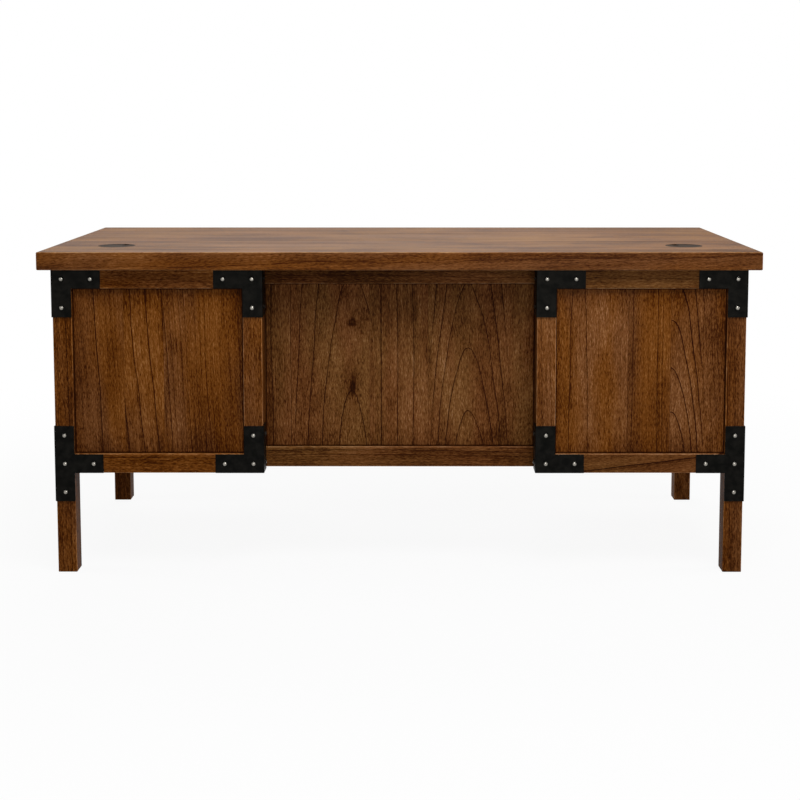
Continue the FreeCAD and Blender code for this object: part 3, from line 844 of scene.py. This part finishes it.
# %% [markdown]
# ## Legs, posts and rails
#
# The case is frame and panel: square legs at the outer corners, shorter posts beside the kneehole,
# and rails between them. Every member is one board with its grain along its length, so legs and
# posts run upright and rails run across. The legs are a little darker than the posts. The rails
# of the kneehole and of the right pedestal's visitor side came from browner planks, and on one of
# these the grain slants, because its log's heart drifts.

# %% Legs and posts
LEG_TONE, UPRIGHT_EASE = -0.10, 0.0015
ENDS = {"visitor": (VISITOR, VISITOR + POST), "user": (USER - POST, USER)}


def upright(name, x, y, foot, tone=0.0):
    """A square post from a foot height up to the top."""
    piece = board(name, (x[0], y[0], foot), (x[1], y[1], UNDERSIDE), UPRIGHT_EASE)
    return lay_grain(piece, "z", "x", tone=tone)


for side_name, side in SIDES.items():
    leg_x = (side * (OUTER - POST), side * OUTER)
    post_x = (side * INNER, side * (INNER + POST))
    for end, span in ENDS.items():
        leg = upright(f"{side_name}_{end}_leg_post", leg_x, span, 0.0, LEG_TONE)
        softened(leg)
        settle(leg, "desk_frame", "case_wood", case_wood, f"{side_name}_{end}_leg")
    pair = [upright("inner_post", post_x, span, BASE) for span in ENDS.values()]
    posts = joined(f"{side_name}_kneehole_posts", pair)
    softened(posts)
    settle(posts, "desk_frame", "case_wood", case_wood, f"{side_name}_inner_posts")

# %% A rail
RAIL_TONE = -0.06
DIVIDER = (0.5355, 0.5555)
RAIL_SPANS = {"bottom": (BASE, BASE + BOTTOM_RAIL), "top": (UNDERSIDE - TOP_RAIL, UNDERSIDE)}
SLANTED = {
    ("right", "bottom"): Log(
        BASE - 0.275, VISITOR, drift=0.124, at=0.558, ring=0.06, bend=0.5, figure=0.9, tone=-0.09
    ),
}


def rail(x, y, z, run, log=None):
    """A rail between two posts."""
    plain_log = any_log(sum(z) / 2, max(y if run == "x" else x), RAIL_TONE)
    piece = board("rail", (x[0], y[0], z[0]), (x[1], y[1], z[1]))
    return lay_grain(piece, run, "z", log or plain_log)


# %% Pedestal rails
face_rails = []
for side_name, side in SIDES.items():
    opening = (side * (INNER + POST), side * (OUTER - POST))
    depth = (VISITOR + POST, USER - POST)
    skin = (side * (OUTER - RAIL), side * OUTER)
    front = [
        rail(opening, (VISITOR, VISITOR + RAIL), span, "x", SLANTED.get((side_name, edge)))
        for edge, span in RAIL_SPANS.items()
    ]
    outer = [rail(skin, depth, span, "y") for span in RAIL_SPANS.values()]
    spans = (*RAIL_SPANS.values(), DIVIDER)
    face_rails += [rail(opening, (USER - RAIL, USER), span, "x") for span in spans]
    for kind, rails in (("visitor", front), ("outer", outer)):
        pair = joined(f"{side_name}_{kind}_rail_pair", rails)
        softened(pair)
        wood = brown_wood if (side_name, kind) == ("right", "visitor") else case_wood
        settle(pair, "desk_frame", "case_wood", wood, f"{side_name}_{kind}_rails")
user_rails = joined("user_side_rails", face_rails)
softened(user_rails)
settle(user_rails, "desk_frame", "case_wood", case_wood, "user_face_rails")

# %% Kneehole rails
for kind, tone in (("bottom", -0.15), ("top", -0.11)):
    low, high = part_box(f"modesty_{kind}_rail")
    piece = lay_grain(board(f"kneehole_{kind}_rail", low, high), "x", "z", tone=tone)
    softened(piece)
    settle(piece, "desk_frame", "case_wood", brown_wood, f"modesty_{kind}_rail")

# %% [markdown]
# ## Panels
#
# Each panel is glued up from a few upright boards, and their figure is what the eye remembers: a
# board whose heart leans under the face shows a stack of pointed arches, one whose heart lies far
# off shows straight lines. So every board of the panels on the visitor's side gets a log of its
# own, with its seams where the photograph shows them. The panels inside and at the ends get
# plain boards, with one figured board in the middle of each end.

# %% Panel boards
PANEL_EASE = 0.0005


def panel(name, low, high, across, seams, logs):
    """A panel of upright boards between its seams."""
    side = AXES[across]
    edges = (low[side], *seams, high[side])
    boards = []
    for near, far, log in zip(edges, edges[1:], logs):
        first, last = Vector(low), Vector(high)
        first[side], last[side] = near, far
        slat = board("panel_board", first, last, PANEL_EASE, 1)
        boards.append(lay_grain(slat, "z", across, log, (low, high)))
    piece = joined(name, boards)
    softened(piece, 30)
    return piece


def panel_box(node, x=None, y=None):
    """The part of a panel that shows between its rails."""
    low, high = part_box(node)
    low.z, high.z = RAIL_SPANS["bottom"][1], RAIL_SPANS["top"][0]
    if x:
        low.x, high.x = x
    if y:
        low.y, high.y = y
    return low, high


# %% Left panel
left_logs = [
    Log(-0.853, -0.30, drift=-0.05, ring=0.0783, bend=1.6, figure=1.0, tone=-0.03),
    Log(-0.818, -0.29, drift=-0.07, ring=0.0355, bend=2.0, figure=0.9, spread=0.36, tone=-0.03),
    Log(-0.85, -0.30, drift=-0.04, ring=0.0115, bend=1.6, figure=0.4, spread=0.47, tone=-0.03),
]
low, high = panel_box("left_visitor_panel", x=(POST - OUTER, -POST - INNER))
left_panel = panel("left_panel_boards", low, high, "x", (-0.645, -0.552), left_logs)
settle(left_panel, "desk_frame", "case_wood", panel_wood, "left_visitor_panel")

# %% Right panel
right_logs = [
    Log(0.4187, -0.3036, lean=0.05, at=0.6685, ring=0.026, figure=0.6, spread=0.03, tone=0.02),
    Log(0.90, -0.30),
    Log(0.6354, -0.2426, lean=0.093, at=0.6085, ring=0.0105, figure=1.15, spread=0.085, tone=0.02),
]
low, high = panel_box("right_visitor_panel", x=(INNER + POST, OUTER - POST))
right_panel = panel("right_panel_boards", low, high, "x", (0.534, 0.634), right_logs)
settle(right_panel, "desk_frame", "case_wood", panel_wood, "right_visitor_panel")

# %% Kneehole panel
middle_logs = [
    Log(-0.55, -0.25, ring=0.0845, figure=0.8),
    Log(-0.113, -0.2074, lean=0.1, at=0.416, ring=0.03, figure=0.8),
    Log(0.3725, -0.26, ring=0.0382, figure=0.8),
    Log(0.1646, -0.1656, lean=0.0716, at=0.52, figure=0.85, spread=0.10),
]
low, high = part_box("modesty_panel")
low.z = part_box("modesty_bottom_rail")[1].z
high.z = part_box("modesty_top_rail")[0].z
middle_seams = (-0.26, -0.072, 0.067)
middle_panel = panel("kneehole_panel_boards", low, high, "x", middle_seams, middle_logs)
settle(middle_panel, "desk_frame", "case_wood", knotty_wood, "modesty_panel")

# %% Outer panels and inner sides
for side_name, side in SIDES.items():
    low, high = panel_box(f"{side_name}_outer_panel", y=(VISITOR + POST, USER - POST))
    logs = [any_log(y, high.x) for y in (-0.2, 0.2)]
    logs.insert(1, Log(chance.uniform(-0.04, 0.04), high.x + 0.1, lean=0.08, figure=0.7))
    outer = panel(f"{side_name}_outer_panel_boards", low, high, "y", (-0.11, 0.1), logs)
    settle(outer, "desk_frame", "case_wood", panel_wood, f"{side_name}_outer_panel")
    low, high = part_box(f"{side_name}_inner_side")
    logs = [any_log(y, high.x) for y in (-0.2, 0.0, 0.2)]
    inner = panel(f"{side_name}_inner_side_boards", low, high, "y", (-0.1, 0.12), logs)
    settle(inner, "desk_frame", "case_wood", panel_wood, f"{side_name}_inner_side")

# %% [markdown]
# ## Drawers
#
# The user's side has a utility drawer over a file drawer in each pedestal and a shallow drawer in
# the kneehole. The fronts are boards with the grain across, and the boxes are pale wood with the
# bottom fitted between the sides, a little above their lower edges. A box could be a hollowed
# block, but then its grain would run round the corners, so it is made of five boards.

# %% Drawer boxes
DRAWERS = ("left_utility", "left_file", "right_utility", "right_file", "centre")
BOX_BOARD, BOX_RISE, BOX_BOTTOM = 0.012, 0.008, 0.006
FRONT_EASE, BOX_EASE, BOTTOM_EASE = 0.0025, 0.001, 0.0005


def drawer_box(name, low, high):
    """Two sides, a front and a back board, and the bottom between them."""
    wall = Vector((BOX_BOARD, BOX_BOARD, 0))
    near, far = low + wall, high - wall
    spans = [
        ((low.x, low.y), (near.x, high.y), "y"), ((far.x, low.y), (high.x, high.y), "y"),
        ((near.x, low.y), (far.x, near.y), "x"), ((near.x, far.y), (far.x, high.y), "x"),
    ]
    boards = [
        lay_grain(board("box_board", (*first, low.z), (*last, high.z), BOX_EASE), run, "z")
        for first, last, run in spans
    ]
    near.z = low.z + BOX_RISE
    far.z = near.z + BOX_BOTTOM
    boards.append(lay_grain(board("box_bottom", near, far, BOTTOM_EASE), "y", "x"))
    return joined(name, boards)


# %% Drawers
for drawer in DRAWERS:
    body = f"{drawer}_drawer"
    low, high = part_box(f"{drawer}_drawer_front")
    front = lay_grain(board(f"{drawer}_front_board", low, high, FRONT_EASE, 3), "x", "z")
    softened(front)
    settle(front, body, "case_wood", case_wood, f"{drawer}_drawer_front")
    box = drawer_box(f"{drawer}_box_boards", *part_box(f"{drawer}_drawer_box"))
    softened(box)
    settle(box, body, "drawer_wood", drawer_wood, f"{drawer}_drawer_box")

# %% [markdown]
# ## Iron brackets
#
# A bracket is flat iron, bent once round the corner of a post. It is folded here as a smith would
# do it: a square on the post's face, extruded down the post, along the rail and round the corner,
# then thickened and its bend rounded. Each kind is made once, at the left leg on the visitor's
# side or at the post beside it, and mirrored to the other three corners.

# %% Folding a bracket
ARM, IRON, BRACKET_BEND = 0.112, 0.0025, 0.002


def plate(corner, inward):
    """The square on a post's visitor face, with one corner at the given place."""
    middle = Vector(corner) + Vector((inward[0], 0, inward[2])) * POST / 2
    release()
    bpy.ops.mesh.primitive_plane_add(size=POST, location=middle, rotation=(math.pi / 2, 0, 0))
    return fixed()


def extend(piece, test, move):
    """Extrude the edges whose middle passes a test."""
    pick(piece, "edges", test)
    bpy.ops.mesh.extrude_edges_move(TRANSFORM_OT_translate={"value": move})


def bracket(corner, inward, lower_arm, side_arm):
    """A bracket round the corner of a post, at its visitor side."""
    x, y, z = corner
    toward_x, _, toward_z = inward
    inner_x, inner_z = x + toward_x * POST, z + toward_z * POST
    middle_z, reach = (z + inner_z) / 2, ARM - POST
    piece = plate(corner, inward)
    edit(piece, "EDGE")
    extend(piece, at(z=inner_z), (0, 0, toward_z * reach))
    if lower_arm:
        extend(piece, at(z=z), (0, 0, -toward_z * reach))
    extend(piece, at(x=inner_x, z=middle_z), (toward_x * reach, 0, 0))
    extend(piece, at(x=x), (0, POST, 0))
    if side_arm:
        extend(piece, at(y=y + POST, z=middle_z), (0, reach, 0))
    face_outwards()
    if sum(face.normal.y for face in piece.data.polygons) > 0:
        turn_over(piece)
    modified(piece, "SOLIDIFY", thickness=IRON, offset=1.0, use_even_offset=True)
    edit(piece, "EDGE")
    pick(piece, "edges", at(x=x - toward_x * IRON, y=y - IRON))
    bpy.ops.mesh.bevel(offset=BRACKET_BEND, segments=3, affect="EDGES")
    leave()
    return piece


# %% To all four corners
def mirrored(piece, axis, about=0.0):
    """A copy on the other side of the desk, with its faces turned right way out."""
    copy = copied(piece)
    copy.scale[axis] = -1
    copy.location[axis] = 2 * about
    edit(fixed())
    face_outwards()
    return copy


def on_four_corners(piece):
    """The piece and its three mirror images."""
    middle = (VISITOR + USER) / 2
    across = mirrored(piece, 0)
    return [piece, across, mirrored(piece, 1, middle), mirrored(across, 1, middle)]


# %% [markdown]
# ## Nails
#
# A nail head is a low dome with a thin rim. One is turned from a circle, ring by ring, and copied
# to each place. There are nearly a hundred, so it has only a few dozen faces. The rings also carry
# the painted highlight that the pewter finish reads: bright at the top of the dome, dark at the
# rim.

# %% A nail head
HEAD, HEIGHT = 0.006, 0.004
Ring = namedtuple("Ring", "wide high bright")
# bright is the painted highlight of each ring, from the dark rim to the bright top of the dome.
RINGS = (
    Ring(1.0, 0.0, 0.0), Ring(1.0, 0.16, 0.1), Ring(0.86, 0.52, 0.4), Ring(0.58, 0.83, 0.8),
    Ring(0.26, 0.97, 1.0),
)


def above(share):
    """A test for elements at or above a share of the head's height."""
    return lambda middle: middle.z > share * HEIGHT - 1e-5


def nail_head():
    """A domed head that stands on the XY plane."""
    release()
    bpy.ops.mesh.primitive_circle_add(vertices=14, radius=HEAD, fill_type="NGON")
    dome = bpy.context.object
    edit(dome, "EDGE")
    for ring, upper in zip(RINGS, RINGS[1:]):
        extend(dome, above(ring.high), (0, 0, (upper.high - ring.high) * HEIGHT))
        narrower = upper.wide / ring.wide
        bpy.ops.transform.resize(value=(narrower, narrower, 1), center_override=(0, 0, 0))
    pick(dome, "edges", above(RINGS[-1].high))
    bpy.ops.mesh.edge_face_add()
    face_outwards()
    # Each vertex takes the painted highlight of its ring: bright at the top of the dome, dark at
    # the rim.
    crown = dome.data.attributes.new("crown", "FLOAT", "POINT")
    for vertex in dome.data.vertices:
        nearest = min(RINGS, key=lambda ring: abs(ring.high * HEIGHT - vertex.co.z))
        crown.data[vertex.index].value = nearest.bright
    take(dome)
    bpy.ops.object.shade_smooth()
    return dome


head = nail_head()
print("nail head:", len(head.data.polygons), "faces")


# %% Nails in a bracket
HALF = POST / 2


def nail_at(point, outward):
    """A copy of the nail head on a surface."""
    copy = copied(head)
    copy.rotation_mode = "QUATERNION"
    copy.rotation_quaternion = Vector(outward).to_track_quat("Z", "Y")
    copy.location = point
    return fixed()


def bracket_nails(corner, inward, lower_arm, side_arm):
    """The nails of a bracket: down the post, along the rail, and the same round the corner."""
    x, y, z = corner
    toward_x, _, toward_z = inward
    heights = [HALF, ARM - HALF] + ([POST - ARM + HALF] if lower_arm else [])
    on_side = [(HALF, height) for height in heights]
    on_face = on_side + [(ARM - HALF, HALF)]
    if side_arm:
        on_side = on_face
    nails = [
        nail_at((x + toward_x * far, y - IRON, z + toward_z * up), (0, -1, 0))
        for far, up in on_face
    ]
    nails += [
        nail_at((x - toward_x * IRON, y + far, z + toward_z * up), (-toward_x, 0, 0))
        for far, up in on_side
    ]
    return joined("bracket_nail_set", nails)


# %% Brackets and their nails
BRACKET_EDGE = {
    "width": 0.0006, "segments": 2, "limit_method": "ANGLE", "angle_limit": math.radians(50),
}
OUTER_TOP, INNER_TOP = (-OUTER, VISITOR, UNDERSIDE), (-INNER, VISITOR, UNDERSIDE)
OUTER_FOOT, INNER_FOOT = (-OUTER, VISITOR, BASE), (-INNER, VISITOR, BASE)
KINDS = {
    "top_corner_brackets": [
        (OUTER_TOP, (1, 1, -1), False, True), (INNER_TOP, (-1, 1, -1), False, False)
    ],
    "leg_brackets": [(OUTER_FOOT, (1, 1, 1), True, True)],
    "lower_corner_brackets": [(INNER_FOOT, (-1, 1, 1), False, False)],
}
nail_sets = []
for node, patterns in KINDS.items():
    irons = []
    for pattern in patterns:
        irons += on_four_corners(bracket(*pattern))
        nail_sets += on_four_corners(bracket_nails(*pattern))
    irons = joined(f"iron_{node}", irons)
    modified(irons, "BEVEL", **BRACKET_EDGE)
    softened(irons)
    settle(irons, "desk_frame", "black_iron", black_iron, node)
nails = joined("pewter_nail_heads", nail_sets)
settle(nails, "desk_frame", "pewter_nails", pewter, "bracket_nails")

# %% [markdown]
# ## Strap pulls
#
# A pull is the same flat iron as the brackets, bent out from its two feet into a grip and held by
# two nails. It is folded like a bracket, by extruding one edge along the bends, which are rounded
# before the strap is thickened.

# %% A strap pull
PULL, WIDTH, STRAP, REACH, FOOT = 0.150, 0.018, 0.003, 0.026, 0.024
PULL_BEND, PULL_NAIL = 0.0045, 0.0645
PULL_EDGE = {**BRACKET_EDGE, "width": 0.0007}


def strap_pull(name, centre):
    """A strap pull on a drawer's front, with its grip towards the user."""
    knee, out = PULL / 2 - FOOT, REACH - STRAP
    release()
    bpy.ops.mesh.primitive_plane_add(size=1, rotation=(math.pi / 2, 0, 0))
    strap = bpy.context.object
    strap.scale = (FOOT, WIDTH, 1)
    strap.location = centre + Vector((FOOT / 2 - PULL / 2, STRAP, 0))
    edit(fixed(), "EDGE")
    x, y = centre.x - knee, centre.y + STRAP
    bends = []
    for move in ((0, out, 0), (2 * knee, 0, 0), (0, -out, 0), (FOOT, 0, 0)):
        bends.append(at(x=x, y=y))
        extend(strap, bends[-1], move)
        x, y = x + move[0], y + move[1]
    pick(strap, "edges", lambda middle: any(bend(middle) for bend in bends))
    bpy.ops.mesh.bevel(offset=PULL_BEND, segments=5, affect="EDGES")
    face_outwards()
    if min(strap.data.polygons, key=lambda face: face.center.x).normal.y < 0:
        turn_over(strap)
    modified(strap, "SOLIDIFY", thickness=STRAP, offset=-1.0, use_even_offset=True)
    modified(strap, "BEVEL", **PULL_EDGE)
    softened(strap)
    strap.name = name
    return strap


# %% Pulls
for drawer in DRAWERS:
    low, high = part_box(f"{drawer}_drawer_pull")
    centre = Vector(((low.x + high.x) / 2, USER, (low.z + high.z) / 2))
    strap = strap_pull(f"{drawer}_strap_pull", centre)
    settle(strap, f"{drawer}_drawer", "black_iron", black_iron, f"{drawer}_drawer_pull")
    nails = [
        nail_at(centre + Vector((x, STRAP, 0)), (0, 1, 0)) for x in (-PULL_NAIL, PULL_NAIL)
    ]
    settle(joined(f"{drawer}_pull_nails", nails), f"{drawer}_drawer", "pewter_nails", pewter)
bpy.data.objects.remove(head)

# %% [markdown]
# ## Cable grommets
#
# A grommet is two turned rings: a liner whose rim sits flush in the top, and a cap that rests on a
# ledge inside it. Both are turned ring by ring, as the nail was. The cap's cable slot is cut by a
# rounded tool, the hull of three round ones in a row.

# %% Turning
def turned(name, x, rings):
    """A shell turned through points of radius and height over the top's face, in edit mode."""
    release()
    centre = Vector((x, GROMMET_Y, top_high.z))
    radius, height = rings[0]
    bpy.ops.mesh.primitive_circle_add(
        vertices=72, radius=radius, location=centre + Vector((0, 0, height)), fill_type="NOTHING"
    )
    piece = fixed()
    piece.name = name
    edit(piece, "EDGE")
    for (wide, low), (narrow, high) in zip(rings, rings[1:]):
        bpy.ops.mesh.extrude_edges_move(TRANSFORM_OT_translate={"value": (0, 0, high - low)})
        share = narrow / wide
        bpy.ops.transform.resize(value=(share, share, 1), center_override=centre)
    return piece


def closed(piece):
    """Weld rings that meet, and turn the faces outwards."""
    bpy.ops.mesh.select_all(action="SELECT")
    bpy.ops.mesh.remove_doubles(threshold=1e-5)
    face_outwards()
    return piece


# %% Liners
BORE, SLEEVE, RIM, CAP_SEAT = 0.03615, 0.03975, 0.0445, 0.03855
SLEEVE_FOOT, LEDGE = -0.024, -0.0035


def liner(x):
    """A liner: a sleeve through the top, a flush rim and a ledge for the cap."""
    rings = [
        (BORE, SLEEVE_FOOT), (SLEEVE, SLEEVE_FOOT), (SLEEVE, -SEAT_DEPTH), (RIM, -SEAT_DEPTH),
        (RIM, -0.0005), (0.0440, 0.0), (0.0391, 0.0), (CAP_SEAT, -0.0006), (CAP_SEAT, LEDGE),
        (BORE, LEDGE), (BORE, SLEEVE_FOOT),
    ]
    return closed(turned("grommet_liner", x, rings))


liners = joined("grommet_liner_rings", [liner(-GROMMET_X), liner(GROMMET_X)])
softened(liners, 40)
settle(liners, "desk_frame", "grommet_plastic", grommet_plastic, "grommet_liners")

# %% Caps
SKIRT_BORE, SKIRT, CAP, SKIRT_FOOT = 0.0339, 0.0359, 0.0383, -0.0115
SLOT_RADIUS, SLOT_PLACES, SLOT_FOOT = 0.008, (0.0263, 0.036, 0.046), 0.02
SLOT_TURNS = {"left": math.radians(55), "right": math.radians(125)}


def slot_tool(x, turn):
    """A rounded tool from the cap's slot out past its rim."""
    tools = []
    for far in SLOT_PLACES:
        tool = cutter(x, SLOT_RADIUS, top_high.z - SLOT_FOOT, top_high.z + CLEAR)
        tool.location = Vector((math.cos(turn), math.sin(turn), 0)) * far
        tools.append(fixed())
    tool = joined("cable_slot_tool", tools)
    edit(tool)
    bpy.ops.mesh.convex_hull()
    leave()
    return tool


def cap(name, x, turn):
    """A cap with a skirt, a slightly dished face and a slot for cables."""
    rings = [
        (SKIRT_BORE, LEDGE), (SKIRT_BORE, SKIRT_FOOT), (SKIRT, SKIRT_FOOT), (SKIRT, LEDGE),
        (CAP, LEDGE), (CAP, -0.0006), (0.0377, 0.0), (0.0345, 0.0), (0.0335, -0.0007),
        (0.012, -0.0009),
    ]
    piece = turned(name, x, rings)
    bpy.ops.mesh.edge_face_add()
    under_face = at(z=top_high.z + LEDGE)
    pick(piece, "edges", lambda middle: under_face(middle) and
         math.hypot(middle.x - x, middle.y - GROMMET_Y) < (SKIRT_BORE + SKIRT) / 2)
    bpy.ops.mesh.edge_face_add()
    closed(piece)
    cut(piece, slot_tool(x, turn))
    edit(piece)
    return closed(piece)


for side_name, side in SIDES.items():
    lid = cap(f"{side_name}_grommet_lid", side * GROMMET_X, SLOT_TURNS[side_name])
    softened(lid, 40)
    settle(lid, f"{side_name}_cap", "grommet_plastic", grommet_plastic, f"{side_name}_grommet_cap")

# %% [markdown]
# ## Parts that stay as drawn
#
# Slides, screws, angles, cleats and floor boards sit inside the case, and the CAD shapes are right
# as they are. They only need a finish. They have no `fibre` attribute, so the plain wood among
# them reads its own place on the desk instead.

# %% Finishes for CAD parts
def plain_wood_finish():
    """Unstained secondary wood with straight grain along Y."""
    material, start = finish("plain_wood", {"Specular IOR Level": 0.2})
    place = object_place(start)
    band = cloud(place, (130.0, 3.0, 130.0), 3.0, 0.6)
    streak = cloud(place, (600.0, 9.0, 600.0))
    shades = stain((122, 88, 54), (158, 120, 80), (186, 150, 106))
    colour = ramp(band * 0.6 + streak * 0.4, (0.25, 0.5, 0.75), shades)
    feed(material, base_color=colour, roughness=0.5 + streak * 0.2)
    return material


plain_wood = plain_wood_finish()
stays = {
    plain_wood: ["pedestal_floor_boards", "slide_cleats", "top_cleats", "centre_drawer_hangers"],
    zinc_steel: ["slide_cabinet_members", "modesty_angles", "construction_screws"],
}
for drawer, member in itertools.product(DRAWERS, ("inner", "middle")):
    stays[zinc_steel].append(f"{drawer}_slide_{member}")
for material, names in stays.items():
    for name in names:
        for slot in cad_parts[name].material_slots:
            slot.material = material
    print(material.name, "on", len(names), "CAD parts")
